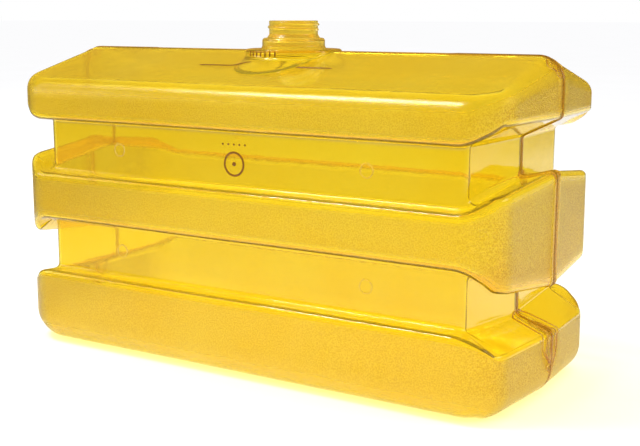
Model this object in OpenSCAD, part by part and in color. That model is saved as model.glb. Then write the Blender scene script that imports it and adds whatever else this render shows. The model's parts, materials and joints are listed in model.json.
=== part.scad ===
// Water tank of a water-filled barrier: a hollow blow-moulded body with three stepped belts,
// a gable roof and a threaded filler neck. X runs along the tank, Y across it and Z up.
// The origin is the middle of the flat base. The two halves of the body are mirror images
// about the parting plane Y = 0, and every section of a half runs base, bottom belt, channel,
// middle belt, channel, top belt, roof.

/* [Body] */
// Overall length, from seam to seam at the top belt
body_len = 472; // [380:1:600]
// Overall width across the belts
body_wid = 198; // [160:1:260]
// Wall thickness
wall = 2.5; // [1.5:0.1:3.2]
// Height of the bottom belt's front face
bottom_belt_h = 66; // [50:1:90]
// Height of each channel, measured at its wall
channel_h = 45.5; // [36:0.5:60]
// Height of the middle belt's front face
mid_belt_h = 41; // [30:1:60]
// Height of the top belt's front face, up to where the roof plane would meet it
top_belt_h = 32.5; // [27:0.5:45]
// Rise of the roof from that level to the ridge
roof_rise = 27.5; // [15:0.5:40]

/* [Ends] */
// Depth of the channels in the front and rear faces
channel_depth = 15; // [10:1:20]
// Depth of the channels in the end faces, at the corners
end_channel_depth = 31; // [20:1:40]
// Amount by which each end face leans back from the seam to the corner
end_draft = 4.8; // [2:0.2:8]
// Amount by which the bottom and middle belts are shorter than the top belt, at each end
belt_inset = 1.8; // [0:0.2:4]
// Length of the cut across each corner of a belt, along the tank
corner_cut_x = 24; // [16:1:32]
// Width of the cut across each corner of a belt, across the tank
corner_cut_y = 17; // [12:1:26]
// How far the outer belts' channel edges move away from the middle belt at the ends
outer_splay = 15; // [6:1:18]
// How far the middle belt's upper edge rises at the corners
mid_splay = 15; // [6:1:18]
// How far the middle belt's lower edge drops at the corners
mid_low_splay = 20; // [8:1:22]
// How much further the middle belt's edges spread between corner and seam
seam_splay = 7.5; // [2:0.5:9]
// How far the middle belt spreads at the channel wall, between corner and seam
seam_wall_splay = 15; // [6:1:16]
// How far the bottom belt's ledge drops at the channel wall, between corner and seam
seam_ledge_drop = 5; // [0:0.5:7]

/* [Rounds] */
// Radius of the bottom edge
base_round = 26; // [15:1:30]
// Radius of the shoulder between the top belt and the roof
shoulder_round = 22; // [12:1:26]
// Radius of the belts' edges
edge_round = 4.5; // [3.5:0.5:6]
// Radius in the corners of the channels
channel_round = 4; // [2:0.5:6]
// Radius of the belts' corner cuts, in plan
corner_round = 29; // [16:1:34]
// Radius of the channels' corners, in plan
channel_corner_round = 7; // [5:0.5:12]

/* [Seam] */
// Width of the seam left by the two mould halves
seam_wid = 4; // [3:0.5:8]
// Height of the seam above the skin beside it
seam_proud = 0.8; // [0.3:0.1:1.5]

/* [Neck] */
// Radius of the bore of the filler neck
neck_bore_r = 18; // [12:0.5:22]
// Wall of the filler neck
neck_wall = 2.2; // [1.6:0.1:3]
// Height of the neck above its collar
neck_h = 14; // [12:0.5:24]
// Width of the step from the neck out to the collar's outside
collar_step = 5.8; // [4:0.2:8]
// Height of the collar above the boss
collar_h = 9; // [6:0.5:14]
// Radius of the boss at its flat top
boss_r = 40; // [36:1:50]
// Height of the boss above the ridge
boss_proud = 1; // [0.6:0.2:4]
// Depth of the boss's upright wall, down to where its foot starts to flare
boss_wall_h = 7; // [5:0.5:10]
// Spread of the foot for each unit that it comes down
boss_flare = 2; // [1:0.1:2.4]
// Height of the thread above the neck's wall
thread_depth = 1.1; // [0.8:0.1:1.6]
// Rise of the thread in one turn
thread_pitch = 4.2; // [3:0.1:6]
// Number of turns of the thread
thread_turns = 1.4; // [1:0.1:2]

/* [Marks] */
// Distance of the fill line from the ridge, in plan
fill_line_y = 43.6; // [36:0.2:56]
// Length of the whole fill line
fill_line_len = 130; // [110:1:180]
// Width of the fill line and of the marks' strokes
stroke = 1.8; // [1:0.1:3]
// Height of the marks above the skin
mark_proud = 0.6; // [0.3:0.1:1]
// Outside radius of the round mark on the front
mark_r = 10; // [6:0.5:12]
// Height of the ticks on the front of the boss
tick_h = 4.6; // [3:0.2:5]
// Angle between one tick and the next, round the boss
tick_step = 6.5; // [5:0.5:7]
// Radius of the vent discs left on the channel walls
vent_r = 6; // [4:0.5:8]
// Distance of the vent discs from the middle of the tank
vent_x = 120; // [60:1:150]

/* [Hidden] */

// Length of the base and ridge lines that the sections start and end on, against the channel wall's
spine_share = 0.7;

// Steps along a quarter of the outline: past the boss, along the front beyond it, round each
// bend of a corner, and along the end
boss_steps = 8;
front_steps = 10;
corner_steps = 4;
end_steps = 4;
// Steps in each round of a section
round_steps = 2;
big_round_steps = 5;

half_wid = body_wid / 2;
half_seam = seam_wid / 2;
top_end = body_len / 2;
low_end = top_end - belt_inset;
corner_x = top_end - end_draft;
wall_y = half_wid - channel_depth;
wall_x = corner_x - end_channel_depth;

// Levels at the front face
low_edge_z = bottom_belt_h;
mid_low_z = low_edge_z + channel_h;
mid_high_z = mid_low_z + mid_belt_h;
top_edge_z = mid_high_z + channel_h;
shoulder_z = top_edge_z + top_belt_h;
ridge_z = shoulder_z + roof_rise;
roof_slope = roof_rise / half_wid;
roof_angle = atan(roof_slope);
roof_wall = wall / cos(roof_angle);

neck_r = neck_bore_r + neck_wall;
collar_r = neck_r + collar_step;
boss_z = ridge_z + boss_proud;
boss_step_z = boss_z - boss_wall_h;
collar_z = boss_z + collar_h;
neck_z = collar_z + neck_h;

// The rounds of the base and the shoulder turn inside the bends of the outline
base_r = min(base_round, 0.9 * corner_round);
shoulder_r = min(shoulder_round, 0.9 * corner_round);

amber = [0.96, 0.74, 0.12, 0.75];
amber_dark = [0.80, 0.45, 0.05, 0.9];

// ---- Small helpers ----

function lerp(a, b, t) = a + (b - a) * t;
function unit(v) = v / norm(v);
function clamp01(t) = max(0, min(1, t));
function roof_at(y) = ridge_z - roof_slope * abs(y);

// Points of the arc of radius r that rounds corner b between a and c
function round_corner(a, b, c, r, steps) =
    let (u = unit(a - b), v = unit(c - b))
    let (half = acos(clamp01((1 + u * v) / 2) * 2 - 1) / 2)
    let (reach = min(r / tan(half), 0.45 * norm(a - b), 0.45 * norm(c - b)))
    let (p = b + u * reach, q = b + v * reach, w = sin(half))
    [for (i = [0 : steps])
        let (t = i / steps, f = (1 - t) * (1 - t), g = 2 * t * (1 - t) * w, h = t * t)
        (f * p + g * b + h * q) / (f + g + h)];

// ---- Plan outlines of the front half, right-hand quarter, from the centre to the seam ----

function belt_outline(end_x) =
    let (a = [0, -half_wid], b = [end_x - end_draft - corner_cut_x, -half_wid])
    let (c = [end_x - end_draft, corner_cut_y - half_wid], d = [end_x, -half_seam])
    let (first = round_corner(a, b, c, corner_round, corner_steps))
    let (second = round_corner(b, c, d, corner_round, corner_steps))
    concat(
        [for (i = [0 : front_steps - 1]) lerp(a, first[0], i / front_steps)],
        first,
        second,
        [for (i = [1 : end_steps]) lerp(second[corner_steps], d, i / end_steps)]);

function channel_outline() =
    let (a = [0, -wall_y], b = [wall_x, -wall_y], d = [wall_x + end_draft, -half_seam])
    let (steps = 2 * corner_steps + 1)
    let (bend = round_corner(a, b, d, channel_corner_round, steps))
    concat(
        [for (i = [0 : front_steps - 1]) lerp(a, bend[0], i / front_steps)],
        bend,
        [for (i = [1 : end_steps]) lerp(bend[steps], d, i / end_steps)]);

top_outline = belt_outline(top_end);
low_outline = belt_outline(low_end);
wall_outline = channel_outline();
stations = len(wall_outline);

// Where the roof is cut away under the boss: the inside of the boss's foot, seen from above,
// at an angle from straight ahead
function opening_radius(angle) =
    let (inner_r = boss_r - wall, lean = boss_flare * roof_slope * cos(angle))
    let (flared = (inner_r + boss_flare * (boss_step_z - ridge_z)) / (1 - lean))
    max(inner_r, flared);
opening_angle = acos(half_seam / (boss_r - wall));
function opening_point(share) =
    let (angle = opening_angle * share, r = opening_radius(angle))
    [r * sin(angle), -r * cos(angle)];

// ---- Section of the front half at one station: base centre to ridge ----

function at(p, z) = [p[0], p[1], z];

// Line on which the sections start and end, and the edge of the roof's opening
function spine_point(j) = [wall_outline[j][0] * spine_share, -half_seam];
function roof_point(j) =
    let (start = opening_point(1), end = spine_point(front_steps))
    j <= boss_steps ? opening_point(j / boss_steps) :
    j < front_steps ? lerp(start, end, (j - boss_steps) / (front_steps - boss_steps)) :
    spine_point(j);

// Point well inside the outline at one station: square to it, or straight in at the seam
function square_in(outline, j) =
    let (p = outline[j], along = outline[min(j + 1, stations - 1)] - outline[max(j - 1, 0)])
    let (lean = clamp01(-p[1] / (half_wid - corner_cut_y)))
    p + unit([-along[1], along[0] * lean]) * half_wid * 0.75;

function section(j) =
    let (top = top_outline[j], low = low_outline[j], inner = wall_outline[j])
    let (centre = spine_point(j), top_in = square_in(top_outline, j), low_in = square_in(low_outline, j))
    let (end = clamp01((half_wid + low[1]) / corner_cut_y))
    let (seam = clamp01(1 + low[1] / (half_wid - corner_cut_y)))
    let (mid_in = seam_wall_splay * seam)
    let (v = [
        at(low_in, 0),
        at(low, 0),
        at(low, low_edge_z - outer_splay * end),
        at(inner, low_edge_z - seam_ledge_drop * seam),
        at(inner, mid_low_z - mid_in),
        at(low, mid_low_z - mid_low_splay * end - seam_splay * seam),
        at(low, mid_high_z + mid_splay * end + seam_splay * seam),
        at(inner, mid_high_z + mid_in),
        at(inner, top_edge_z),
        at(top, top_edge_z + outer_splay * end),
        at(top, roof_at(top[1])),
        at(top_in, roof_at(top_in[1]))])
    let (radii = [0, base_r, edge_round, channel_round, channel_round, edge_round,
                  edge_round, channel_round, channel_round, edge_round, shoulder_r, 0])
    concat(
        [at(centre, 0)],
        [for (k = [1 : 10])
            each round_corner(v[k - 1], v[k], v[k + 1], radii[k],
                              k == 1 || k == 10 ? big_round_steps : round_steps)],
        [at(roof_point(j), roof_at(roof_point(j)[1]))]);

function mirror_x(points) = [for (p = points) [-p[0], p[1], p[2]]];

right_sections = [for (j = [0 : stations - 1]) section(j)];
skin = concat(
    [for (j = [stations - 1 : -1 : 1]) mirror_x(right_sections[j])],
    right_sections);
last_j = len(skin) - 1;
last_k = len(skin[0]) - 1;

// Outward normal of the skin at a point of its grid
function normal_at(j, k) =
    k == 0 ? [0, 0, -1] :
    k == last_k ? [0, -sin(roof_angle), cos(roof_angle)] :
    let (along = skin[min(j + 1, last_j)][k] - skin[max(j - 1, 0)][k])
    let (up = skin[j][k + 1] - skin[j][k - 1])
    unit(cross(along, up));

// The rim of a half is square to the base, so its inner edge keeps to the rim's own plane
function on_rim(j, k) = j == 0 || j == last_j || k == 0 || k == last_k;
function inner_point(j, k) =
    let (n = normal_at(j, k))
    let (m = k == last_k ? [0, 0, 1] : on_rim(j, k) ? unit([n[0], 0, n[2]]) : n)
    skin[j][k] - m * wall / (n * m);

lining = [for (j = [0 : last_j]) [for (k = [0 : last_k]) inner_point(j, k)]];

// ---- One half of the body as a closed solid ----

grid_size = (last_j + 1) * (last_k + 1);
function outer_id(j, k) = j * (last_k + 1) + k;
function inner_id(j, k) = grid_size + outer_id(j, k);
function two_triangles(a, b, c, d) = [[a, b, c], [a, c, d]];

module half_shell() {
    points = concat([for (row = skin) each row], [for (row = lining) each row]);
    faces = concat(
        [for (j = [0 : last_j - 1]) for (k = [0 : last_k - 1]) each concat(
            two_triangles(outer_id(j, k), outer_id(j, k + 1),
                          outer_id(j + 1, k + 1), outer_id(j + 1, k)),
            two_triangles(inner_id(j, k), inner_id(j + 1, k),
                          inner_id(j + 1, k + 1), inner_id(j, k + 1)))],
        [for (j = [0 : last_j - 1]) each concat(
            two_triangles(outer_id(j, 0), outer_id(j + 1, 0),
                          inner_id(j + 1, 0), inner_id(j, 0)),
            two_triangles(outer_id(j + 1, last_k), outer_id(j, last_k),
                          inner_id(j, last_k), inner_id(j + 1, last_k)))],
        [for (k = [0 : last_k - 1]) each concat(
            two_triangles(outer_id(last_j, k), outer_id(last_j, k + 1),
                          inner_id(last_j, k + 1), inner_id(last_j, k)),
            two_triangles(outer_id(0, k + 1), outer_id(0, k),
                          inner_id(0, k), inner_id(0, k + 1)))]);
    polyhedron(points, faces);
}

// ---- Boss, collar and neck ----

// Solid inside the boss's outer face: an upright wall on a flared foot, inset by a wall or not
module boss_form(inset) {
    foot_drop = boss_z - boss_step_z + roof_slope * 2 * boss_r;
    r = boss_r - inset;
    rotate_extrude($fn = 240) polygon([
        [0, boss_z - foot_drop],
        [r + boss_flare * (foot_drop - boss_wall_h), boss_z - foot_drop],
        [r, boss_step_z],
        [r, boss_z - inset],
        [0, boss_z - inset]]);
}

// Everything below the outer face of the roof, except inside the boss's wall
module roof_form() {
    reach = body_wid;
    difference() {
        rotate([90, 0, 90])
            linear_extrude(body_len, center = true)
                polygon([[-reach, 0], [reach, 0], [reach, roof_at(reach)],
                         [0, ridge_z], [-reach, roof_at(reach)]]);
        cylinder(h = neck_z, r = boss_r - wall, $fn = 96);
    }
}

module front_shell() {
    color(amber) half_shell();
}

module rear_shell() {
    color(amber) mirror([0, 1, 0]) half_shell();
}

module neck_boss() {
    color(amber) difference() {
        boss_form(0);
        boss_form(wall);
        roof_form();
        translate([0, 0, boss_step_z])
            cylinder(h = boss_wall_h + 1, r = collar_r, $fn = 96);
    }
}

module neck_collar() {
    round_r = 1.2 * wall;
    low = boss_z - wall;
    color(amber) rotate_extrude($fn = 96) polygon(concat(
        [[collar_r - wall, low], [collar_r, low]],
        [for (a = [0 : 15 : 90])
            [collar_r - round_r + round_r * cos(a), collar_z - round_r + round_r * sin(a)]],
        [[neck_r, collar_z], [neck_r, collar_z - wall], [collar_r - wall, collar_z - wall]]));
}

module filler_neck() {
    low = collar_z - wall;
    color(amber) translate([0, 0, low]) difference() {
        cylinder(h = neck_z - low, r = neck_r, $fn = 96);
        translate([0, 0, -1])
            cylinder(h = neck_z - low + 2, r = neck_bore_r, $fn = 96);
    }
}

// Thread: a trapezoid swept along a helix, fading in and out over its first and last steps
module neck_thread() {
    turn_steps = 30;
    steps = round(turn_steps * thread_turns);
    fade_steps = 4;
    foot = thread_pitch * 0.3;
    crest = thread_pitch * 0.12;
    top = neck_z - foot - 0.5;
    points = [for (i = [0 : steps])
        let (a = 360 * i / turn_steps - 90, z = top - thread_pitch * i / turn_steps)
        let (fade = clamp01((min(i, steps - i) + 0.4) / fade_steps))
        let (r = neck_r + thread_depth * fade)
        each [for (q = [[neck_r, -foot], [r, -crest], [r, crest], [neck_r, foot]])
            [q[0] * cos(a), q[0] * sin(a), z + q[1]]]];
    faces = concat(
        [[0, 1, 2], [0, 2, 3]],
        [for (i = [0 : steps - 1]) for (c = [0 : 3])
            let (a = 4 * i + c, b = 4 * i + (c + 1) % 4)
            each two_triangles(a, a + 4, b + 4, b)],
        [let (e = 4 * steps) each two_triangles(e + 3, e + 2, e + 1, e)]);
    color(amber) polyhedron(points, faces);
}

// ---- Seam: the weld between the two halves, standing a little proud of the skin ----

// Rim of a half in its own plane, from one side of the roof's opening round to the other:
// ridge, right end, base, left end, ridge
open_j = (last_j / 2) + boss_steps;
rim = concat(
    [for (j = [open_j : last_j]) [j, last_k]],
    [for (k = [last_k - 1 : -1 : 0]) [last_j, k]],
    [for (j = [last_j - 1 : -1 : 0]) [j, 0]],
    [for (k = [1 : last_k]) [0, k]],
    [for (j = [1 : last_j - open_j]) [j, last_k]]);

// Height of the seam above the skin beside it, at a share of its half width. It rounds over
// on the ends, fills the gable along the ridge and is flush where the tank stands on it.
function seam_height(g, share) =
    g[1] == last_k ? roof_slope * half_seam * (1 - abs(share)) :
    seam_proud * sqrt(1 - share * share) * clamp01(skin[g[0]][g[1]][2] / base_r);

module parting_seam() {
    count = len(rim);
    outer = [for (g = rim) skin[g[0]][g[1]]];
    inner = [for (g = rim) lining[g[0]][g[1]]];
    rows = [
        for (share = [-1, -0.5, 0, 0.5, 1])
            [for (i = [0 : count - 1])
                let (p = outer[i] + unit(outer[i] - inner[i]) * seam_height(rim[i], share))
                [p[0], share * half_seam, p[2]]],
        [for (p = inner) [p[0], half_seam, p[2]]],
        [for (p = inner) [p[0], -half_seam, p[2]]]];
    row_count = len(rows);
    last_row = (row_count - 1) * count;
    end = count - 1;
    faces = concat(
        [for (r = [0 : row_count - 1]) for (i = [0 : end - 1])
            let (a = r * count + i, c = ((r + 1) % row_count) * count + i)
            each two_triangles(a, c, c + 1, a + 1)],
        [for (r = [0 : row_count - 3]) [last_row, (r + 1) * count, r * count]],
        [for (r = [0 : row_count - 3])
            [last_row + end, r * count + end, (r + 1) * count + end]]);
    color(amber_dark) polyhedron([for (row = rows) each row], faces);
}

// ---- Marks in the skin ----

// Two bars along the front slope of the roof, stopping short of the boss
module fill_line() {
    line_z = roof_at(fill_line_y);
    foot_r = boss_r + boss_flare * (boss_step_z - line_z);
    clear_x = sqrt(max(0, foot_r * foot_r - fill_line_y * fill_line_y)) + 0.3;
    color(amber_dark) for (side = [0, 1]) mirror([side, 0, 0])
        translate([clear_x, -fill_line_y, line_z]) rotate([roof_angle, 0, 0])
            translate([0, -stroke / 2, 0])
                cube([fill_line_len / 2 - clear_x, stroke, mark_proud]);
}

// Row of upright ticks on the boss's wall, centred a little to the left of its front
module fill_ticks() {
    tick_z = boss_step_z + (boss_wall_h - tick_h) / 2;
    middle = -97.5;
    color(amber_dark) difference() {
        for (i = [-3 : 3])
            rotate([0, 0, middle + tick_step * i])
                translate([boss_r - stroke, -stroke / 3, tick_z])
                    cube([stroke + mark_proud, stroke * 2 / 3, tick_h]);
        boss_form(0);
    }
}

// Lays a mark on the front channel wall, facing out
module on_front_wall(x, z) {
    translate([x, -wall_y, z]) rotate([90, 0, 0]) children();
}

// Plain ring with a dot, and a row of pips above it
module mould_mark() {
    ring_z = mid_high_z + channel_h * 0.42;
    pip_z = ring_z + mark_r + 3 * stroke;
    color(amber_dark) {
        on_front_wall(0, ring_z) difference() {
            cylinder(h = mark_proud, r = mark_r, $fn = 48);
            translate([0, 0, -1]) cylinder(h = mark_proud + 2, r = mark_r - stroke, $fn = 48);
        }
        on_front_wall(0, ring_z) cylinder(h = mark_proud, r = stroke, $fn = 32);
        for (i = [-2 : 2])
            on_front_wall(i * 3 * stroke, pip_z)
                cylinder(h = mark_proud, r = stroke / 2, $fn = 24);
    }
}

// Shallow round discs in the channel walls, where the mould lets air out
module vent_discs() {
    low_z = (low_edge_z + mid_low_z) / 2;
    high_z = (mid_high_z + top_edge_z) / 2;
    color(amber) for (side = [0, 1]) mirror([0, side, 0])
        for (x = [-vent_x, vent_x])
            for (z = [low_z, high_z])
                on_front_wall(x, z) cylinder(h = mark_proud / 2, r = vent_r, $fn = 32);
}

front_shell();
rear_shell();
parting_seam();
neck_boss();
neck_collar();
filler_neck();
neck_thread();
fill_line();
fill_ticks();
mould_mark();
vent_discs();
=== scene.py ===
"""Looks of a water tank for a barrier: clear amber plastic, blow moulded in two mirrored halves.

Shapes are worked out in millimetres, in the frame's own axes, and become metres in add_mesh().
"""

import json
import math

import bpy
import numpy as np
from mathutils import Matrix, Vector

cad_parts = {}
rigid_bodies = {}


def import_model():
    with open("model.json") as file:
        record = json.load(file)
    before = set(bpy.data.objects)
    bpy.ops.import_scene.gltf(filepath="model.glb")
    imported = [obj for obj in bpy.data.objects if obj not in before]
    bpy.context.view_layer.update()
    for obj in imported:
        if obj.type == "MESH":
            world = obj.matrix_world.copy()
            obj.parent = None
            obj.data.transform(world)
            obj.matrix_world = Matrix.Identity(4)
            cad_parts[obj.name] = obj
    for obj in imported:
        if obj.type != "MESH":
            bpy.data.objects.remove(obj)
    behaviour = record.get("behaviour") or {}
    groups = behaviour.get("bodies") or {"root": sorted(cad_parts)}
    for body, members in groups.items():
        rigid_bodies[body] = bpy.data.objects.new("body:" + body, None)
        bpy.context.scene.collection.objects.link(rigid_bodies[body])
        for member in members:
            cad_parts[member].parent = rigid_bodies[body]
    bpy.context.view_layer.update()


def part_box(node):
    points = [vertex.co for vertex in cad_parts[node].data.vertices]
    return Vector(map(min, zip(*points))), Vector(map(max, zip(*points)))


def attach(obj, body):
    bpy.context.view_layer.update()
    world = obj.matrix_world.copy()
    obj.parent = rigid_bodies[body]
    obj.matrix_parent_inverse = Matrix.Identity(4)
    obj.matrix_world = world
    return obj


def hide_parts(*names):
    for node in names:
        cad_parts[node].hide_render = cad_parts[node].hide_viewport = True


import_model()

MM = 0.001

# ---- Sizes in millimetres: the overall ones come from the frame ----

shell_low, shell_high = (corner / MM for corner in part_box("front_shell"))
seam_high, boss_high, collar_high, neck_high = (
    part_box(name)[1] / MM for name in ("parting_seam", "neck_boss", "neck_collar", "filler_neck"))

TOP_END = shell_high.x
HALF_WID = -shell_low.y
HALF_SEAM = seam_high.y
BOSS_Z = boss_high.z
COLLAR_Z = collar_high.z
NECK_Z = neck_high.z
COLLAR_R = collar_high.x
NECK_R = neck_high.x

WALL = 2.5
BELT_H = (66.0, 41.0, 32.5)  # bottom, middle and top belt, at the front
CHANNEL_H = 45.5
CHANNEL_DEPTH = 15.0
END_CHANNEL_DEPTH = 31.0
END_DRAFT = 4.8
BELT_INSET = 1.8
CORNER_CUT_X = 24.0
CORNER_CUT_Y = 17.0
OUTER_SPLAY = 15.0
MID_SPLAY = 15.0
MID_LOW_SPLAY = 20.0
SEAM_SPLAY = 7.5
SEAM_WALL_SPLAY = 15.0
SEAM_LEDGE_DROP = 5.0
BASE_ROUND = 26.0
SHOULDER_ROUND = 22.0
EDGE_ROUND = 4.5
CHANNEL_ROUND = 4.0
CORNER_ROUND = 29.0
CHANNEL_CORNER_ROUND = 7.0
SEAM_PROUD = 0.8
BORE_R = 18.0
BOSS_R = 40.0
BOSS_PROUD = 1.0
BOSS_WALL_H = 7.0
BOSS_FLARE = 2.0
THREAD_DEPTH = 1.1
THREAD_PITCH = 4.2
THREAD_TURNS = 1.4
FILL_LINE_Y = 43.6
FILL_LINE_SPANS = ((-65.0, -12.0), (31.0, 65.0))  # left and right of the boss
STROKE = 1.8
MARK_PROUD = 0.6
MARK_R = 10.0
TICKS = 7
TICK_H = 4.6
FIRST_TICK_ANGLE = -117.0  # degrees round the boss, from +X
TICK_TURN = 6.5
VENT_R = 6.0
VENT_X = 120.0
VENT_STROKE = 1.4
SPINE_SHARE = 0.7  # where the base's and the ridge's points lie along the tank, against the channel wall's
FRONT_GRAIN = 0.6  # the sanded grain on the front faces, against that on the ends

LOW_END = TOP_END - BELT_INSET
WALL_Y = HALF_WID - CHANNEL_DEPTH
WALL_X = TOP_END - END_DRAFT - END_CHANNEL_DEPTH
LOW_EDGE_Z = BELT_H[0]
MID_LOW_Z = LOW_EDGE_Z + CHANNEL_H
MID_HIGH_Z = MID_LOW_Z + BELT_H[1]
TOP_EDGE_Z = MID_HIGH_Z + CHANNEL_H
SHOULDER_Z = TOP_EDGE_Z + BELT_H[2]
RIDGE_Z = BOSS_Z - BOSS_PROUD
ROOF_SLOPE = (RIDGE_Z - SHOULDER_Z) / HALF_WID
ROOF_ANGLE = math.atan(ROOF_SLOPE)
BOSS_STEP_Z = BOSS_Z - BOSS_WALL_H
BASE_R = min(BASE_ROUND, 0.9 * CORNER_ROUND)
SHOULDER_R = min(SHOULDER_ROUND, 0.9 * CORNER_ROUND)

# Gap kept between pieces that the real tank has in one, so that no two faces lie in one place
CLEAR = 0.04

# Most of a side that the round at its end may take, as a share
MOST_OF_SIDE = 0.45

# Steps of the skin: along the roof's opening, along the front, round each bend, along the end
BOSS_STEPS = 16
FRONT_STEPS = 28
CORNER_STEPS = 10
END_STEPS = 16
ROUND_STEPS = 5
BIG_ROUND_STEPS = 12
# Rows added in each straight stretch of a section, from the base to the ridge
SPAN_STEPS = (6, 14, 3, 4, 3, 8, 3, 4, 3, 6, 12)
# Corners of a section, counted from the base's edge: those on a belt, and those with a big round
BELT_CORNERS = (1, 2, 5, 6, 9, 10)
BIG_ROUNDS = (1, 10)


# ---- Geometry helpers ----

def unit(v):
    return v / np.linalg.norm(v)


def lerp(a, b, t):
    return a + (b - a) * t


def clamp01(t):
    return max(0.0, min(1.0, t))


def roof_at(y):
    """Level of the roof's outer face."""
    return RIDGE_Z - ROOF_SLOPE * abs(y)


def round_corner(a, b, c, radius, steps):
    """Points of the arc that rounds corner b between a and c."""
    u, v = unit(a - b), unit(c - b)
    half = math.acos(max(-1.0, min(1.0, float(u @ v)))) / 2
    shorter = min(np.linalg.norm(a - b), np.linalg.norm(c - b))
    reach = min(radius / math.tan(half), MOST_OF_SIDE * shorter)
    p, q, w = b + u * reach, b + v * reach, math.sin(half)
    points = []
    for i in range(steps + 1):
        t = i / steps
        f, g, h = (1 - t) ** 2, 2 * t * (1 - t) * w, t * t
        points.append((f * p + g * b + h * q) / (f + g + h))
    return points


def rounded_loop(corners):
    """Closed outline through (r, z, radius) corners, with each corner rounded."""
    points = []
    count = len(corners)
    for i, (r, z, radius) in enumerate(corners):
        b = np.array([r, z])
        if radius == 0:
            points.append(b)
            continue
        a = np.array(corners[i - 1][:2])
        c = np.array(corners[(i + 1) % count][:2])
        points.extend(round_corner(a, b, c, radius, ROUND_STEPS))
    return points


# ---- Skin of the front half ----

def end_share(i):
    """Share of the end's length at one step: closer steps towards the seam."""
    crowding = 1.8
    return 1 - (1 - i / END_STEPS) ** crowding


def belt_outline(end_x):
    """Outline of a belt seen from above, from the middle of the front to the seam at one end."""
    a = np.array([0, -HALF_WID])
    b = np.array([end_x - END_DRAFT - CORNER_CUT_X, -HALF_WID])
    c = np.array([end_x - END_DRAFT, CORNER_CUT_Y - HALF_WID])
    d = np.array([end_x, -HALF_SEAM])
    first = round_corner(a, b, c, CORNER_ROUND, CORNER_STEPS)
    second = round_corner(b, c, d, CORNER_ROUND, CORNER_STEPS)
    front = [lerp(a, first[0], i / FRONT_STEPS) for i in range(FRONT_STEPS)]
    end = [lerp(second[-1], d, end_share(i)) for i in range(1, END_STEPS + 1)]
    return np.array(front + first + second + end)


def channel_outline():
    """Outline of the channels' walls seen from above, from the middle of the front to the seam."""
    a = np.array([0, -WALL_Y])
    b = np.array([WALL_X, -WALL_Y])
    d = np.array([WALL_X + END_DRAFT, -HALF_SEAM])
    bend = round_corner(a, b, d, CHANNEL_CORNER_ROUND, 2 * CORNER_STEPS + 1)
    front = [lerp(a, bend[0], i / FRONT_STEPS) for i in range(FRONT_STEPS)]
    end = [lerp(bend[-1], d, end_share(i)) for i in range(1, END_STEPS + 1)]
    return np.array(front + bend + end)


top_outline = belt_outline(TOP_END)
low_outline = belt_outline(LOW_END)
wall_outline = channel_outline()
stations = len(wall_outline)


def opening_radius(angle, wall):
    """Radius at which the boss's foot, inset by a wall, meets the roof's outer face."""
    flared = BOSS_R - wall - BOSS_FLARE * (RIDGE_Z - BOSS_STEP_Z)
    return max(BOSS_R - wall, flared / (1 - BOSS_FLARE * ROOF_SLOPE * math.cos(angle)))


def opening_point(share):
    """Point of the roof's opening under the boss, from its front to the seam."""
    angle = math.acos(HALF_SEAM / (BOSS_R - WALL)) * share
    r = opening_radius(angle, WALL)
    return np.array([r * math.sin(angle), -r * math.cos(angle)])


def spine_point(j):
    return np.array([wall_outline[j][0] * SPINE_SHARE, -HALF_SEAM])


def roof_point(j):
    """Where a station's section ends on the roof: at the opening under the boss, or on the ridge."""
    if j <= BOSS_STEPS:
        return opening_point(j / BOSS_STEPS)
    if j < FRONT_STEPS:
        share = (j - BOSS_STEPS) / (FRONT_STEPS - BOSS_STEPS)
        return lerp(opening_point(1), spine_point(FRONT_STEPS), share)
    return spine_point(j)


def square_in(outline, j):
    """Point well inside the outline at one station: square to it, or straight in at the seam."""
    reach = 0.75 * HALF_WID
    along = outline[min(j + 1, stations - 1)] - outline[max(j - 1, 0)]
    lean = clamp01((-HALF_SEAM - outline[j][1]) / (HALF_WID - CORNER_CUT_Y - HALF_SEAM))
    return outline[j] + unit(np.array([-along[1], along[0] * lean])) * reach


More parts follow.
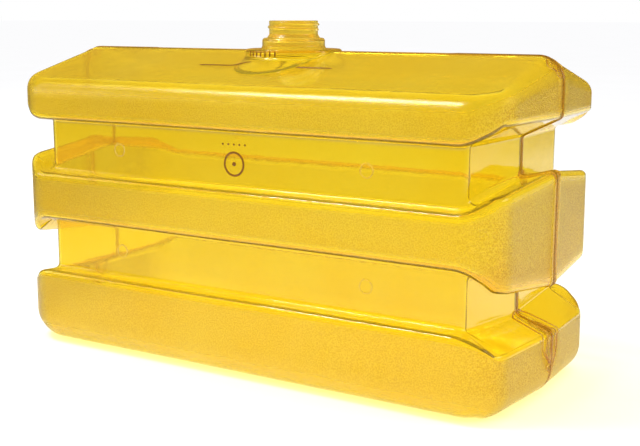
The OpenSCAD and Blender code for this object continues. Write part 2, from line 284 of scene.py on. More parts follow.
def section(j):
    """Section at one station, from the base's centre to the ridge, and each point's grain.

    The flats of the belts are sanded. The grain fades out round the base and the shoulder, and the
    small edges of the belts, the channels and the roof are polished.
    """
    top, low, inner = top_outline[j], low_outline[j], wall_outline[j]
    top_in, low_in = square_in(top_outline, j), square_in(low_outline, j)
    end = clamp01((HALF_WID + low[1]) / CORNER_CUT_Y)
    seam = clamp01(1 + low[1] / (HALF_WID - CORNER_CUT_Y))
    mid_in = SEAM_WALL_SPLAY * seam

    def at(p, z):
        return np.array([p[0], p[1], z])

    v = [
        at(low_in, 0),
        at(low, 0),
        at(low, LOW_EDGE_Z - OUTER_SPLAY * end),
        at(inner, LOW_EDGE_Z - SEAM_LEDGE_DROP * seam),
        at(inner, MID_LOW_Z - mid_in),
        at(low, MID_LOW_Z - MID_LOW_SPLAY * end - SEAM_SPLAY * seam),
        at(low, MID_HIGH_Z + MID_SPLAY * end + SEAM_SPLAY * seam),
        at(inner, MID_HIGH_Z + mid_in),
        at(inner, TOP_EDGE_Z),
        at(top, TOP_EDGE_Z + OUTER_SPLAY * end),
        at(top, roof_at(top[1])),
        at(top_in, roof_at(top_in[1])),
    ]
    radii = [0, BASE_R, EDGE_ROUND, CHANNEL_ROUND, CHANNEL_ROUND, EDGE_ROUND,
             EDGE_ROUND, CHANNEL_ROUND, CHANNEL_ROUND, EDGE_ROUND, SHOULDER_R]
    coarse = FRONT_GRAIN + (1 - FRONT_GRAIN) * end
    arcs = []
    for k in range(1, len(radii)):
        steps = BIG_ROUND_STEPS if k in BIG_ROUNDS else ROUND_STEPS
        arcs.append(round_corner(v[k - 1], v[k], v[k + 1], radii[k], steps))
    start = at(spine_point(j), 0)
    crest = roof_point(j)
    points, grain = [start], [0.0]
    last, last_belt = start, False
    for k, (arc, steps) in enumerate(zip(arcs, SPAN_STEPS), start=1):
        belt = k in BELT_CORNERS
        for i in range(1, steps):
            points.append(lerp(last, arc[0], i / steps))
            grain.append(coarse if last_belt and belt else 0.0)
        for i, p in enumerate(arc):
            share = i / (len(arc) - 1)
            facing = share if k == BIG_ROUNDS[0] else 1 - share
            points.append(p)
            grain.append(coarse * facing ** 2 if k in BIG_ROUNDS else 0.0)
        last, last_belt = arc[-1], belt
    for i in range(1, SPAN_STEPS[-1] + 1):
        points.append(lerp(last, at(crest, roof_at(crest[1])), i / SPAN_STEPS[-1]))
        grain.append(0.0)
    return np.array(points), np.array(grain)


def grid_normals(grid):
    """Outward normals of a grid of points, with those of its first and last rows given."""
    along = np.empty_like(grid)
    along[1:-1] = grid[2:] - grid[:-2]
    along[0], along[-1] = grid[1] - grid[0], grid[-1] - grid[-2]
    up = np.empty_like(grid)
    up[:, 1:-1] = grid[:, 2:] - grid[:, :-2]
    up[:, 0], up[:, -1] = grid[:, 1] - grid[:, 0], grid[:, -1] - grid[:, -2]
    n = np.cross(along, up)
    n[:, 0] = (0, 0, -1)
    n[:, -1] = (0, -math.sin(ROOF_ANGLE), math.cos(ROOF_ANGLE))
    return n / np.linalg.norm(n, axis=2, keepdims=True)


def sink(x, y, z):
    """How far the skin sinks at a point: the soft unevenness of a blown wall.

    Two sets of crossed waves. Each divisor is a wavelength in millimetres, divided by two pi.
    """
    slow_depth = 0.28
    quick_depth = 0.1
    slow = np.sin(x / 37.0 + 1.3 * np.sin(z / 29.0)) * np.sin(z / 23.0 + y / 31.0)
    quick = np.sin(x / 13.0 + z / 17.0 + 0.8 * np.sin(y / 9.0)) * np.sin(z / 11.0 - x / 19.0)
    return slow_depth * (0.5 + 0.5 * slow) + quick_depth * (0.5 + 0.5 * quick)


# Soft folds of the skin at the ends: low and high level, how far they stray from the seam,
# height (a negative one is a groove) and width. The low ones start lower at the right end.
LOW_FOLDS = ((30.0, 66.0, 8.5, 1.3, 2.0), (24.0, 60.0, 14.0, -1.1, 2.6))
RIDGE_FOLD = (TOP_EDGE_Z + 14, RIDGE_Z, 7.0, -0.8, 2.2)
# Knots of wrinkles there: level, height, wave and reach
LOW_KNOT = (27.0, 0.9, 1.6, 6.0)
HIGH_KNOTS = ((MID_HIGH_Z + 17, 0.8, 1.5, 7.0), (RIDGE_Z - 6, 0.8, 1.8, 9.0))
RIGHT_END_DROP = 4.0
# Power of the sine that a fold's path follows: below 1, so that it bows out soon and stays out
FOLD_BOW = 0.8
FOLD_FULLNESS = 0.35  # the same for its height


def fold(y, z, low, high, stray, height, width):
    """A pinch-off fold that leaves the seam at one level and comes back to it at another."""
    t = np.clip((z - low) / (high - low), 0, 1)
    path = stray * np.sin(math.pi * t) ** FOLD_BOW
    strength = np.sin(math.pi * t) ** FOLD_FULLNESS
    return height * strength * np.exp(-(((np.abs(y) - path) / width) ** 2))


def knot(y, z, centre, height, wave, reach):
    """A small knot of wrinkles where the parison was pinched."""
    away = np.exp(-((y / reach) ** 2) - ((z - centre) / (0.8 * reach)) ** 2)
    return height * away * np.sin(z / wave + np.abs(y) / (0.7 * wave))


def pinch(x, y, z):
    """Height of the soft folds and knots beside the seam at the ends."""
    at_end = 1.0 * (np.abs(x) > WALL_X)
    drop = RIGHT_END_DROP * (x > 0)
    marks = 0
    for low, *shape in LOW_FOLDS:
        marks = marks + fold(y, z, low - drop, *shape)
    centre, *shape = LOW_KNOT
    marks = marks + knot(y, z, centre - drop, *shape)
    for values in HIGH_KNOTS:
        marks = marks + knot(y, z, *values)
    marks = marks + fold(y, z, *RIDGE_FOLD)
    return marks * at_end


def half_skin():
    """Outer grid, lining grid and grain of the front half, from the left end to the right."""
    right = [section(j) for j in range(stations)]
    outer = np.array([p for p, _ in right])
    grain = np.array([g for _, g in right])
    outer = np.concatenate([outer[:0:-1] * (-1, 1, 1), outer])
    grain = np.concatenate([grain[:0:-1], grain])
    n = grid_normals(outer)

    # Along the rim the wall is measured in the seam's plane, and straight down on the ridge and the opening
    rim = np.zeros(outer.shape[:2], bool)
    rim[[0, -1]] = True
    rim[:, [0, -1]] = True
    m = n.copy()
    m[rim, 1] = 0
    m[:, -1] = (0, 0, 1)
    m /= np.linalg.norm(m, axis=2, keepdims=True)
    lining = outer - m * WALL / np.sum(n * m, axis=2, keepdims=True)

    # The lining follows the outer face's unevenness less closely, which varies the wall
    lining_share = 0.7
    seam_fade = 3.0
    base_level = 1.0
    x, y, z = np.moveaxis(outer, 2, 0)
    near_seam = np.clip(-(y + HALF_SEAM) / seam_fade, 0, 1)
    uneven = near_seam * (pinch(x, y, z) - sink(x, y, z))
    shift = np.where(~rim & (z >= base_level), uneven, 0)
    outer = outer + n * shift[..., None]
    lining = lining + n * lining_share * shift[..., None]
    outer[..., 0] = np.clip(outer[..., 0], -TOP_END, TOP_END)
    outer[..., 2] = np.maximum(outer[..., 2], 0)
    return outer, lining, grain


# ---- Meshes ----

def add_mesh(name, points, faces, smooth_angle=None, grain=None):
    """A smooth-shaded object from points in millimetres."""
    mesh = bpy.data.meshes.new(name)
    mesh.from_pydata((np.asarray(points) * MM).tolist(), [], [tuple(map(int, f)) for f in faces])
    mesh.shade_smooth()
    if grain is not None:
        mesh.attributes.new("grain", "FLOAT", "POINT").data.foreach_set("value", grain)
    if smooth_angle:
        mesh.set_sharp_from_angle(angle=smooth_angle)
    obj = bpy.data.objects.new(name, mesh)
    bpy.context.scene.collection.objects.link(obj)
    weighted = obj.modifiers.new("Even shading", "WEIGHTED_NORMAL")
    weighted.keep_sharp = True
    weighted.weight = 60
    return obj


def grid_faces(rows, columns, start=0, wrap_rows=False, wrap_columns=False):
    """Quads over a grid of points stored row by row."""
    last_row = rows if wrap_rows else rows - 1
    last_column = columns if wrap_columns else columns - 1
    faces = []
    for j in range(last_row):
        for k in range(last_column):
            a = start + j * columns
            b = start + (j + 1) % rows * columns
            e = (k + 1) % columns
            faces.append((a + k, b + k, b + e, a + e))
    return faces


def shell_mesh(name, outer, lining, grain):
    """A closed wall between two grids that share their rim."""
    rows, columns = outer.shape[:2]
    count = rows * columns
    faces = grid_faces(rows, columns)
    faces += [f[::-1] for f in grid_faces(rows, columns, start=count)]
    edge = [(j, 0) for j in range(rows)]
    edge += [(rows - 1, k) for k in range(1, columns)]
    edge += [(j, columns - 1) for j in range(rows - 2, -1, -1)]
    edge += [(0, k) for k in range(columns - 2, 0, -1)]
    ids = [j * columns + k for j, k in edge]
    for a, b in zip(ids, ids[1:] + ids[:1]):
        faces.append((b, a, a + count, b + count))
    points = np.concatenate([outer.reshape(-1, 3), lining.reshape(-1, 3)])
    both_grains = np.concatenate([grain.ravel(), 0 * grain.ravel()])
    return add_mesh(name, points, faces, math.radians(50), both_grains)


def lathe(name, outline, segments=128, place=None):
    """A closed outline of (r, z) points turned round Z."""
    turns = [2 * math.pi * i / segments for i in range(segments)]
    points = [(r * math.cos(a), r * math.sin(a), z) for a in turns for r, z in outline]
    faces = grid_faces(segments, len(outline), wrap_rows=True, wrap_columns=True)
    if place:
        points = [place(p) for p in points]
    return add_mesh(name, points, faces, math.radians(40))


def join(name, objects):
    """One object from several."""
    for obj in bpy.context.view_layer.objects:
        obj.select_set(obj in objects)
    bpy.context.view_layer.objects.active = objects[0]
    bpy.ops.object.join()
    objects[0].name = name
    objects[0].data.name = name
    return objects[0]


# ---- Body ----

def body_pieces():
    """Both halves of the skin and the seam between them; the rear half mirrors the front one."""
    outer, lining, grain = half_skin()
    flip = np.array([1, -1, 1])
    front = shell_mesh("front_skin", outer, lining, grain)
    rear = shell_mesh("rear_skin", outer[::-1] * flip, lining[::-1] * flip, grain[::-1])
    return front, rear, fold_beads(outer, seam_bead(outer, lining))


def seam_bead(outer, lining):
    """The weld between the halves: a low bead with two lips, from one side of the boss to the other."""
    proud_steps = 13
    lining_steps = 5
    rows, columns = outer.shape[:2]
    last_k = columns - 1
    open_j = rows // 2 + BOSS_STEPS
    rim = [(j, last_k) for j in range(open_j, rows)]
    rim += [(rows - 1, k) for k in range(last_k - 1, -1, -1)]
    rim += [(j, 0) for j in range(rows - 2, -1, -1)]
    rim += [(0, k) for k in range(1, columns)]
    rim += [(j, last_k) for j in range(1, rows - open_j)]
    out = np.array([outer[g] for g in rim])
    inn = np.array([lining[g] for g in rim])
    away = (out - inn) / np.linalg.norm(out - inn, axis=1, keepdims=True)
    on_ridge = np.array([g[1] == last_k for g in rim])
    low = np.clip(out[:, 2] / BASE_R, 0, 1)
    half = HALF_SEAM - CLEAR
    loop = []
    for share in np.linspace(-1, 1, proud_steps):
        lips = (1 - share**4) * (0.6 + 0.4 * math.sin(math.pi * abs(share)))
        gable = ROOF_SLOPE * half * (1 - abs(share))
        height = np.where(on_ridge, gable, SEAM_PROUD * lips * low)
        p = out + away * height[:, None]
        loop.append(np.column_stack([p[:, 0], np.full(len(p), share * half), p[:, 2]]))
    for share in np.linspace(1, -1, lining_steps):
        loop.append(np.column_stack([inn[:, 0], np.full(len(inn), share * half), inn[:, 2]]))
    points = np.concatenate(loop)
    count = len(rim)
    faces = [f[::-1] for f in grid_faces(len(loop), count, wrap_rows=True)]
    first = [r * count for r in range(len(loop))]
    faces.append(first)
    faces.append([i + count - 1 for i in first[::-1]])
    return add_mesh("seam_bead", points, faces, math.radians(40))


# Fine folds at the ends: low and high level, how far they stray, phase of their wriggle, height
FINE_FOLDS = (
    (25.0, 60.0, 7.5, 0.0, 0.9),
    (27.0, 64.0, 12.5, 0.6, 0.8),
    (30.0, 56.0, 3.4, 3.0, 0.7),
    (18.0, 31.0, 3.6, 5.0, 0.6),
    (MID_LOW_Z - 22, MID_HIGH_Z + 18, 2.0, 0.3, 0.7),
    (MID_HIGH_Z + 10, MID_HIGH_Z + 22, 3.2, 2.1, 0.7),
    (MID_HIGH_Z + 13, MID_HIGH_Z + 24, 6.5, 3.4, 0.7),
    (RIDGE_Z - 17, RIDGE_Z - 2.5, 5.0, 1.2, 0.5),
    (RIDGE_Z - 12, RIDGE_Z - 1.5, 9.0, 4.0, 0.5),
)
FOLD_WIDTH = 1.8
FOLD_START = 0.6  # from the seam's edge
WRIGGLE = 0.5
WRIGGLE_TURNS = 9  # radians along a fold
FEWEST_ROWS = 4


def fold_point(skin, normals, k, away, side):
    """Point and normal on one end's skin, at a fractional row and a distance from the middle."""
    k0 = int(k)
    k1 = min(k0 + 1, skin.shape[1] - 1)
    row = lerp(skin[:, k0], skin[:, k1], k - k0)
    up = lerp(normals[:, k0], normals[:, k1], k - k0)
    order = np.argsort(-row[:, 1])
    reach = -row[order, 1]
    mirror = (1, -side, 1)
    return [tuple(np.interp(away, reach, grid[order, c]) * mirror[c] for c in range(3))
            for grid in (row, up)]


def fold_beads(outer, bead):
    """The seam's bead with its fine folds: low crooked beads on the skin beside it, at both ends."""
    normals = grid_normals(outer)
    beads = []
    for left in (True, False):
        columns = slice(0, END_STEPS) if left else slice(-END_STEPS, None)
        skin, skin_normals = outer[columns], normals[columns]
        levels = skin[0 if left else -1, :, 2]
        for low, high, stray, phase, height in FINE_FOLDS:
            rows = np.flatnonzero((levels > low) & (levels < high))
            if len(rows) < FEWEST_ROWS:
                continue
            fine = np.linspace(rows[0], rows[-1], 5 * len(rows))
            for side in (-1, 1):
                stretch = []
                for i, k in enumerate(fine):
                    t = i / (len(fine) - 1)
                    away = HALF_SEAM + FOLD_START + stray * math.sin(math.pi * t) ** FOLD_BOW
                    away += WRIGGLE * math.sin(WRIGGLE_TURNS * t + phase + side)
                    stretch.append(fold_point(skin, skin_normals, k, away, side))
                path, ups = zip(*(stretch[::-1] if left else stretch))
                beads.append(swept_bar("fold", path, ups, FOLD_WIDTH, height))
    return join("seam_bead", [bead] + beads)


# ---- Boss, collar and neck ----

def boss_skin():
    """Flat-topped boss whose foot flares out and blends into the roof."""
    segments = 192
    least_flare = 1.2
    least_wall_h = 0.2
    foot_fillet = 7.0
    rings = []
    for i in range(segments):
        angle = 2 * math.pi * i / segments
        lean = abs(math.cos(angle))
        ring = []
        for inset, fillet in ((0.0, 2.0), (WALL, 1.2)):
            r = BOSS_R - inset
            foot_r = max(r + least_flare, opening_radius(math.acos(lean), inset))
            foot_z = roof_at(foot_r * lean) + CLEAR
            bend_z = foot_z + (foot_r - r) / BOSS_FLARE
            top = BOSS_Z - inset
            bend = (r, min(bend_z, top - least_wall_h))
            corners = [np.array(p) for p in (
                (COLLAR_R + CLEAR, top), (r, top), bend, (foot_r, foot_z))]
            line = [corners[0]]
            line += round_corner(*corners[0:3], fillet, 6)
            line += round_corner(*corners[1:4], foot_fillet, 8)
            line.append(corners[3])
            ring += line if inset == 0 else line[::-1]
        rings.append([(r * math.sin(angle), -r * math.cos(angle), z) for r, z in ring])
    points = [p for ring in rings for p in ring]
    faces = grid_faces(segments, len(rings[0]), wrap_rows=True, wrap_columns=True)
    return add_mesh("boss_skin", points, [f[::-1] for f in faces], math.radians(40))


def collar_skin():
    """Collar that stands on the boss, with a small round foot."""
    low = BOSS_Z - WALL
    inner_r = COLLAR_R - WALL
    foot = 1.2
    return lathe("collar_skin", rounded_loop([
        (inner_r, low, 0.6),
        (COLLAR_R - CLEAR, low, 0.2),
        (COLLAR_R - CLEAR, BOSS_Z + CLEAR, 0.1),
        (COLLAR_R + foot, BOSS_Z + CLEAR, 0.2),
        (COLLAR_R, BOSS_Z + 2 * foot, 2.0),
        (COLLAR_R, COLLAR_Z, 3.0),
        (NECK_R + CLEAR, COLLAR_Z, 0.1),
        (NECK_R + CLEAR, COLLAR_Z - WALL, 0.2),
        (inner_r, COLLAR_Z - WALL, 1.5)]))


def neck_tube():
    """Filler neck with its bore, its foot flaring out on the collar."""
    low = COLLAR_Z - WALL
    flare = 1.8
    return lathe("neck_tube", rounded_loop([
        (BORE_R, low, 0.6),
        (NECK_R, low, 0.2),
        (NECK_R, COLLAR_Z + CLEAR, 0.1),
        (NECK_R + flare, COLLAR_Z + CLEAR, 0.2),
        (NECK_R, COLLAR_Z + 1.5 * flare, 2.0),
        (NECK_R, NECK_Z, 0.7),
        (BORE_R, NECK_Z, 0.7)]))


def thread_bead():
    """Thread swept along a helix, with a round crest and run-outs at both ends."""
    turn_steps = 90
    steps = round(turn_steps * THREAD_TURNS)
    fade_steps = 14
    rim_margin = 0.5
    foot = THREAD_PITCH * 0.3
    top = NECK_Z - foot - rim_margin
    across = np.linspace(-1, 1, 9)
    points = []
    for i in range(steps + 1):
        angle = 2 * math.pi * i / turn_steps - math.pi / 2
        z = top - THREAD_PITCH * i / turn_steps
        fade = clamp01((min(i, steps - i) + 0.5) / fade_steps) ** 0.6
        for s in across:
            r = NECK_R + CLEAR + THREAD_DEPTH * fade * (1 - s * s) ** 0.7
            points.append((r * math.cos(angle), r * math.sin(angle), z + foot * s * (0.4 + 0.6 * fade)))
        r = NECK_R + CLEAR / 2
        points.append((r * math.cos(angle), r * math.sin(angle), z))
    count = len(across) + 1
    faces = grid_faces(steps + 1, count, wrap_columns=True)
    faces.append(tuple(range(count)))
    faces.append(tuple(steps * count + i for i in range(count - 1, -1, -1)))
    return add_mesh("thread_bead", points, faces, math.radians(50))


# ---- Marks ----

def swept_bar(name, path, ups, width, height):
    """A low bar with a round back along a path; ups are the surface's normals on it."""
    path, ups = np.array(path, float), np.array(ups, float)
    along = np.gradient(path, axis=0)
    side = np.cross(along, ups)
    side /= np.linalg.norm(side, axis=1, keepdims=True)
    across = np.linspace(0, math.pi, 9)
    count = len(across)
    last = len(path) - 1
    taper_steps = 3
    points = []
    for i, (p, s, u) in enumerate(zip(path, side, ups)):
        taper = math.sqrt(clamp01((min(i, last - i) + 0.3) / taper_steps))
        for a in across:
            lift = CLEAR + height * taper * math.sin(a) ** 0.6
            points.append(p + s * math.cos(a) * width / 2 * (0.5 + 0.5 * taper) + u * lift)
    faces = grid_faces(last + 1, count, wrap_columns=True)
    faces.append(tuple(range(count)))
    faces.append(tuple(last * count + i for i in range(count - 1, -1, -1)))
    return add_mesh(name, points, faces, math.radians(60))


def boss_or_roof(x, y):
    """Level of the surface seen from above: the roof, or the boss's foot where it is higher."""
    foot = BOSS_STEP_Z - (math.hypot(x, y) - BOSS_R) / BOSS_FLARE
    gap = foot - roof_at(y)
    blend = 0.8
    return roof_at(y) + 0.5 * (gap + math.sqrt(gap * gap + blend * blend))


def fill_line():
    """Raised line across the roof's front slope, broken at the boss."""
    up = (0, -math.sin(ROOF_ANGLE), math.cos(ROOF_ANGLE))
    bars = []
    for start, end in FILL_LINE_SPANS:
        xs = np.linspace(start, end, 40)
        path = [(x, -FILL_LINE_Y, boss_or_roof(x, -FILL_LINE_Y)) for x in xs]
        bars.append(swept_bar("bar", path, [up] * len(path), STROKE, MARK_PROUD))
    return join("fill_line_bars", bars)


def fill_ticks():
    """Row of plain upright ticks on the boss, above the fill line."""
    low = BOSS_STEP_Z + (BOSS_WALL_H - TICK_H) / 2
    ticks = []
    for i in range(TICKS):
        angle = math.radians(FIRST_TICK_ANGLE + TICK_TURN * i)
        out = np.array([math.cos(angle), math.sin(angle), 0])
        path = [out * BOSS_R + (0, 0, z) for z in np.linspace(low, low + TICK_H, 14)]
        ticks.append(swept_bar("tick", path, [out] * len(path), STROKE * 0.7, MARK_PROUD))
    return join("fill_tick_row", ticks)


def wall_place(x, z, side=-1):
    """Lays a turned shape on a long channel wall, its axis pointing out: -1 is the front, 1 the rear."""
    def place(p):
        return (x - side * p[0], side * (WALL_Y + CLEAR + p[2]), z + p[1])
    return place


def dome(name, radius, height, place):
    """A low round dot, with a pinhole along its axis so that the turned outline closes."""
    pinhole = 0.02
    outline = [(pinhole, height)] + [
        (radius * math.sin(a), height * math.cos(a) ** 0.7) for a in np.linspace(0.2, math.pi / 2, 8)]
    outline.append((pinhole, 0))
    return lathe(name, outline[::-1], 32, place)


def mould_mark():
    """Plain ring with a dot in it and five pips over it, on the front's upper channel wall."""
    ring_z = MID_HIGH_Z + CHANNEL_H * 0.42
    mid_r = MARK_R - STROKE / 2
    ring = [(mid_r + STROKE / 2 * math.cos(a), MARK_PROUD * math.sin(a) ** 0.7)
            for a in np.linspace(0, math.pi, 11)]
    marks = [lathe("ring", ring, 96, wall_place(0, ring_z)),
             dome("dot", STROKE, MARK_PROUD, wall_place(0, ring_z))]
    for i in range(-2, 3):
        place = wall_place(i * 3 * STROKE, ring_z + MARK_R + 3 * STROKE)
        marks.append(dome("pip", STROKE / 2, MARK_PROUD, place))
    return join("mould_mark_beads", marks)


def vent_discs():
    """Marks of the mould's vents: thin rings on both long channel walls."""
    levels = ((LOW_EDGE_Z + MID_LOW_Z) / 2, (MID_HIGH_Z + TOP_EDGE_Z) / 2)
    half = VENT_STROKE / 2
    outline = [(VENT_R - half + half * math.cos(a), MARK_PROUD / 2 * math.sin(a) ** 0.7)
               for a in np.linspace(0, math.pi, 9)]
    rings = [lathe("vent", outline, 48, wall_place(x, z, side))
             for side in (-1, 1) for x in (-VENT_X, VENT_X) for z in levels]
    return join("vent_rings", rings)


# ---- Materials ----

def link(tree, a, b):
    tree.links.new(a, b)


def node(tree, kind, **values):
    """A node with its properties and its sockets set by name."""
    made = tree.nodes.new(kind)
    for name, value in values.items():
        if hasattr(made, name):
            setattr(made, name, value)
        else:
            made.inputs[name.replace("_", " ")].default_value = value
    return made


def ramp(tree, source, stops):
    """Maps a value from one range to another: low and high end of the first, then of the second."""
    made = tree.nodes.new("ShaderNodeMapRange")
    (made.inputs["From Min"].default_value, made.inputs["From Max"].default_value,
     made.inputs["To Min"].default_value, made.inputs["To Max"].default_value) = stops
    link(tree, source, made.inputs["Value"])
    return made.outputs["Result"]


def calculate(tree, operation, a, b):
    made = node(tree, "ShaderNodeMath", operation=operation)
    link(tree, a, made.inputs[0])
    link(tree, b, made.inputs[1])
    return made.outputs[0]


def mix_colours(tree, a, b, factor, blend="MIX"):
    """Mix of two colours, each a plain colour or another node's output."""
    made = node(tree, "ShaderNodeMix", data_type="RGBA", blend_type=blend)
    for socket, value in (("A", a), ("B", b)):
        if isinstance(value, tuple):
            made.inputs[socket].default_value = (*value, 1)
        else:
            link(tree, value, made.inputs[socket])
    link(tree, factor, made.inputs["Factor"])
    return made.outputs["Result"]


def noise(tree, place, scale, detail, roughness=0.5):
    made = node(tree, "ShaderNodeTexNoise", Scale=scale, Detail=detail, Roughness=roughness)
    link(tree, place, made.inputs["Vector"])
    return made.outputs["Fac"]


def bump(tree, height, strength, distance, under=None):
    """A bump of a height, on top of the normal of the bump under it."""
    made = node(tree, "ShaderNodeBump", Strength=strength, Distance=distance)
    link(tree, height, made.inputs["Height"])
    if under:
        link(tree, under, made.inputs["Normal"])
    return made.outputs["Normal"]


PLASTIC_IOR = 1.46
# Painted shade: tint multiplied into the low points of the sanded bump
PIT_SHADE_TINT = (0.60, 0.50, 0.36)
# White in the tint of shadow and diffuse light that went through; the rest is the pale tint
SHADOW_WHITE = 0.84


def light_through(tree, plastic, pale):
    """Lets shadow and diffuse light straight through the plastic, faintly tinted."""
    clear = node(tree, "ShaderNodeBsdfTransparent")
    clear.inputs["Color"].default_value = tuple(SHADOW_WHITE + (1 - SHADOW_WHITE) * c for c in pale) + (1,)
    path = node(tree, "ShaderNodeLightPath")
    soft = calculate(tree, "MAXIMUM", path.outputs["Is Shadow Ray"], path.outputs["Is Diffuse Ray"])
    mixed = node(tree, "ShaderNodeMixShader")
    link(tree, soft, mixed.inputs["Fac"])
    link(tree, plastic.outputs["BSDF"], mixed.inputs[1])
    link(tree, clear.outputs["BSDF"], mixed.inputs[2])
    return mixed.outputs["Shader"]


def amber(name, pale, deep, haze, absorb, density, rough, grainy=False):
    """Clear amber plastic: tinted, a little hazy, and deeper in colour where light goes far in it.

    The surface drifts between the pale and the deep tint. Inside, light is absorbed down to a colour,
    at a density per metre. A grainy piece is sanded where its mesh's grain attribute says, and the
    low points of the sand's bump get painted shade.
    """
    material = bpy.data.materials.new(name)
    material.use_nodes = True
    tree = material.node_tree
    tree.nodes.clear()
    place = node(tree, "ShaderNodeTexCoord").outputs["Object"]
    drift = noise(tree, place, scale=9.0, detail=3.0, roughness=0.55)
    sand = noise(tree, place, scale=900.0, detail=1.0, roughness=0.6)
    flow = noise(tree, place, scale=55.0, detail=2.0)
    if grainy:
        mask = node(tree, "ShaderNodeAttribute", attribute_name="grain").outputs["Fac"]
    else:
        mask = ramp(tree, flow, (0.0, 1.0, 0.05, 0.15))

    # Tint, with painted shade in the pits: darker where the sand's bump is low, most where it is sanded
    tint = mix_colours(tree, pale, deep, ramp(tree, drift, (0.35, 0.65, 0.0, 1.0)))
    pit_shade = calculate(tree, "MULTIPLY", ramp(tree, sand, (0.62, 0.38, 0.0, 1.0)), mask)
    tint_with_pit_shade = mix_colours(tree, tint, PIT_SHADE_TINT, pit_shade, "MULTIPLY")

    # Soft waves of the blown surface, and the sanded grain on them
    relief = calculate(tree, "MULTIPLY", sand, mask)
    waves = bump(tree, flow, strength=0.12, distance=0.0012)
    normal = bump(tree, relief, strength=1.0, distance=0.0009, under=waves)
    sanded_rough = ramp(tree, mask, (0.0, 0.45, 0.0, 0.27))
    polished_rough = ramp(tree, flow, (0.3, 0.7, rough, rough * 1.6))

    plastic = node(tree, "ShaderNodeBsdfPrincipled")
    plastic.inputs["IOR"].default_value = PLASTIC_IOR
    plastic.inputs["Transmission Weight"].default_value = 1 - haze
    link(tree, tint_with_pit_shade, plastic.inputs["Base Color"])
    link(tree, calculate(tree, "ADD", sanded_rough, polished_rough), plastic.inputs["Roughness"])
    link(tree, normal, plastic.inputs["Normal"])

    depth = node(tree, "ShaderNodeVolumeAbsorption")
    depth.inputs["Color"].default_value = (*absorb, 1)
    depth.inputs["Density"].default_value = density
    out = node(tree, "ShaderNodeOutputMaterial")
    link(tree, light_through(tree, plastic, pale), out.inputs["Surface"])
    link(tree, depth.outputs["Volume"], out.inputs["Volume"])
    return material


# The floor is darker to rays that the plastic passes on or mirrors, by the distance in metres
# from one point of it: near and far distance, and the share of light lost at each
SHADE_CENTRE = (0.5, 0.5, 0.0)
FLOOR_SHADES = (
    ("Is Transmission Ray", (0.4, 5.0, 0.12, 0.64)),
    ("Is Reflection Ray", (0.8, 1.6, 0.0, 0.88)),
)


def pale_floor():
    """Plain pale floor, darker where it is seen through the plastic or mirrored in it far away."""
    material = bpy.data.materials.new("pale_floor")
    material.use_nodes = True
    tree = material.node_tree
    shader = tree.nodes["Principled BSDF"]
    place = node(tree, "ShaderNodeTexCoord").outputs["Object"]
    path = node(tree, "ShaderNodeLightPath")
    drift = noise(tree, place, scale=3.0, detail=2.0)
    seen = mix_colours(tree, (0.92, 0.92, 0.92), (0.95, 0.95, 0.95), drift)
    away = node(tree, "ShaderNodeVectorMath", operation="DISTANCE")
    away.inputs[1].default_value = SHADE_CENTRE
    link(tree, place, away.inputs[0])
    for ray, shade in FLOOR_SHADES:
        lost = calculate(tree, "MULTIPLY", path.outputs[ray], ramp(tree, away.outputs["Value"], shade))
        seen = mix_colours(tree, seen, (0.0, 0.0, 0.0), lost)
    link(tree, seen, shader.inputs["Base Color"])
    shader.inputs["Roughness"].default_value = 0.7
    shader.inputs["Specular IOR Level"].default_value = 0.0
    return material


# ---- Stage: floor, light and camera ----

def add_floor():
    reach = 40.0
    mesh = bpy.data.meshes.new("floor")
    corners = [(x * reach, y * reach, 0) for x, y in ((-1, -1), (1, -1), (1, 1), (-1, 1))]
    mesh.from_pydata(corners, [], [(0, 1, 2, 3)])
    mesh.materials.append(pale_floor())
    floor = bpy.data.objects.new("floor", mesh)
    bpy.context.scene.collection.objects.link(floor)


def add_world():
    """Plain white all round, dark and warm where the plastic mirrors it."""
    world = bpy.data.worlds.new("studio")
    bpy.context.scene.world = world
    world.use_nodes = True
    tree = world.node_tree
    background = tree.nodes["Background"]
    path = node(tree, "ShaderNodeLightPath")
    seen = mix_colours(tree, (1.0, 1.0, 1.0), (0.46, 0.24, 0.06), path.outputs["Is Reflection Ray"])
    colour = mix_colours(tree, seen, (1.04, 1.04, 1.05), path.outputs["Is Diffuse Ray"])
    link(tree, colour, background.inputs["Color"])
    background.inputs["Strength"].default_value = 1.0


# Softboxes: name, place, what it is aimed at, width and height in metres, and power in watts
MIDDLE = (0, 0, 0.15)
SOFTBOXES = (
    ("top_strip", (-0.74, -0.56, 1.65), (-0.74, -0.54, 0.2), 0.72, 0.26, 15),
    ("far_strip", (-1.6, -0.56, 1.65), (-1.6, -0.54, 0.2), 1.0, 0.26, 1.6),
    ("left_box", (-1.9, -1.0, 1.0), MIDDLE, 0.9, 0.7, 5),
    ("end_box", (1.5, 0.2, 0.8), MIDDLE, 0.7, 0.7, 4),
)


def add_softbox(name, place, target, width, height, power):
    light = bpy.data.lights.new(name, "AREA")
    light.shape = "RECTANGLE"
    light.size, light.size_y = width, height
    light.energy = power
    lamp = bpy.data.objects.new(name, light)
    lamp.location = place
    aim = np.array(target) - np.array(place)
    lamp.rotation_euler = Vector(aim).to_track_quat("-Z", "Y").to_euler()
    lamp.visible_camera = False
    bpy.context.scene.collection.objects.link(lamp)


def add_camera():
    data = bpy.data.cameras.new("camera")
    data.lens = 64.6
    data.sensor_width = 36
    camera = bpy.data.objects.new("camera", data)
    camera.location = (0.53944, -0.79948, 0.28726)
    camera.rotation_euler = (math.radians(79.69), 0, math.radians(32.71))
    bpy.context.scene.collection.objects.link(camera)
    bpy.context.scene.camera = camera


def add_stage():
    add_floor()
    add_world()
    for softbox in SOFTBOXES:
        add_softbox(*softbox)
    add_camera()


# ---- Assembly ----

add_stage()

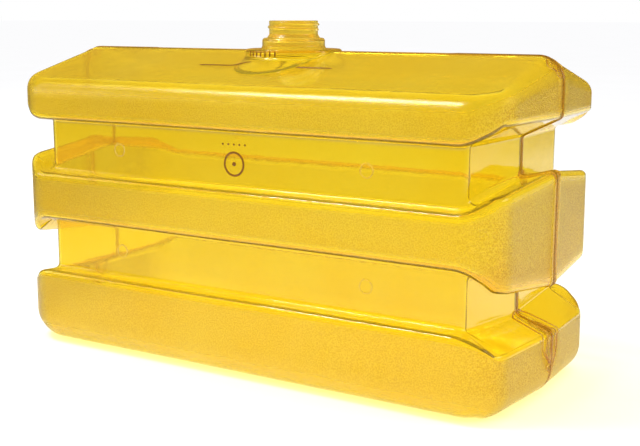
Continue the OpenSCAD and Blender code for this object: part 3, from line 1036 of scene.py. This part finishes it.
skin_amber = amber("amber_skin", pale=(0.99, 0.86, 0.14), deep=(0.99, 0.82, 0.07), haze=0.07,
                   absorb=(0.94, 0.845, 0.10), density=130.0, rough=0.05, grainy=True)
seam_amber = amber("amber_seam", pale=(0.86, 0.62, 0.12), deep=(0.72, 0.46, 0.06), haze=0.10,
                   absorb=(0.88, 0.76, 0.10), density=160.0, rough=0.06)
neck_amber = amber("amber_neck", pale=(0.98, 0.86, 0.26), deep=(0.98, 0.82, 0.17), haze=0.09,
                   absorb=(0.95, 0.82, 0.10), density=100.0, rough=0.05)
# Painted shade: the raised marks are the skin's own plastic, tinted dark brown for the shade along their
# edges
shaded_mark_amber = amber("amber_marks", pale=(0.36, 0.17, 0.03), deep=(0.28, 0.12, 0.02), haze=0.45,
                   absorb=(0.85, 0.60, 0.10), density=160.0, rough=0.10)
film_amber = amber("amber_film", pale=(0.98, 0.92, 0.60), deep=(0.97, 0.90, 0.55), haze=0.0,
                   absorb=(0.95, 0.84, 0.10), density=60.0, rough=0.06)

front_skin, rear_skin, bead = body_pieces()
pieces = (
    (front_skin, "front_shell", skin_amber, "amber_skin"),
    (rear_skin, "rear_shell", skin_amber, "amber_skin"),
    (bead, "parting_seam", seam_amber, "amber_seam"),
    (boss_skin(), "neck_boss", skin_amber, "amber_skin"),
    (collar_skin(), "neck_collar", neck_amber, "amber_neck"),
    (neck_tube(), "filler_neck", neck_amber, "amber_neck"),
    (thread_bead(), "neck_thread", neck_amber, "amber_neck"),
    (fill_line(), "fill_line", shaded_mark_amber, "amber_marks"),
    (fill_ticks(), "fill_ticks", shaded_mark_amber, "amber_marks"),
    (mould_mark(), "mould_mark", shaded_mark_amber, "amber_marks"),
    (vent_discs(), "vent_discs", film_amber, "amber_skin"),
)
for piece, cad_node, material, slot in pieces:
    piece.data.materials.clear()
    piece.data.materials.append(material)
    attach(piece, "root")
    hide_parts(cad_node)

# Light crosses many clear faces on its way through the tank
FACES_CROSSED = 24
scene = bpy.context.scene
scene.view_settings.view_transform = "Standard"
scene.cycles.max_bounces = FACES_CROSSED
scene.cycles.transmission_bounces = FACES_CROSSED
scene.cycles.transparent_max_bounces = FACES_CROSSED
scene.cycles.caustics_refractive = False
scene.cycles.caustics_reflective = False
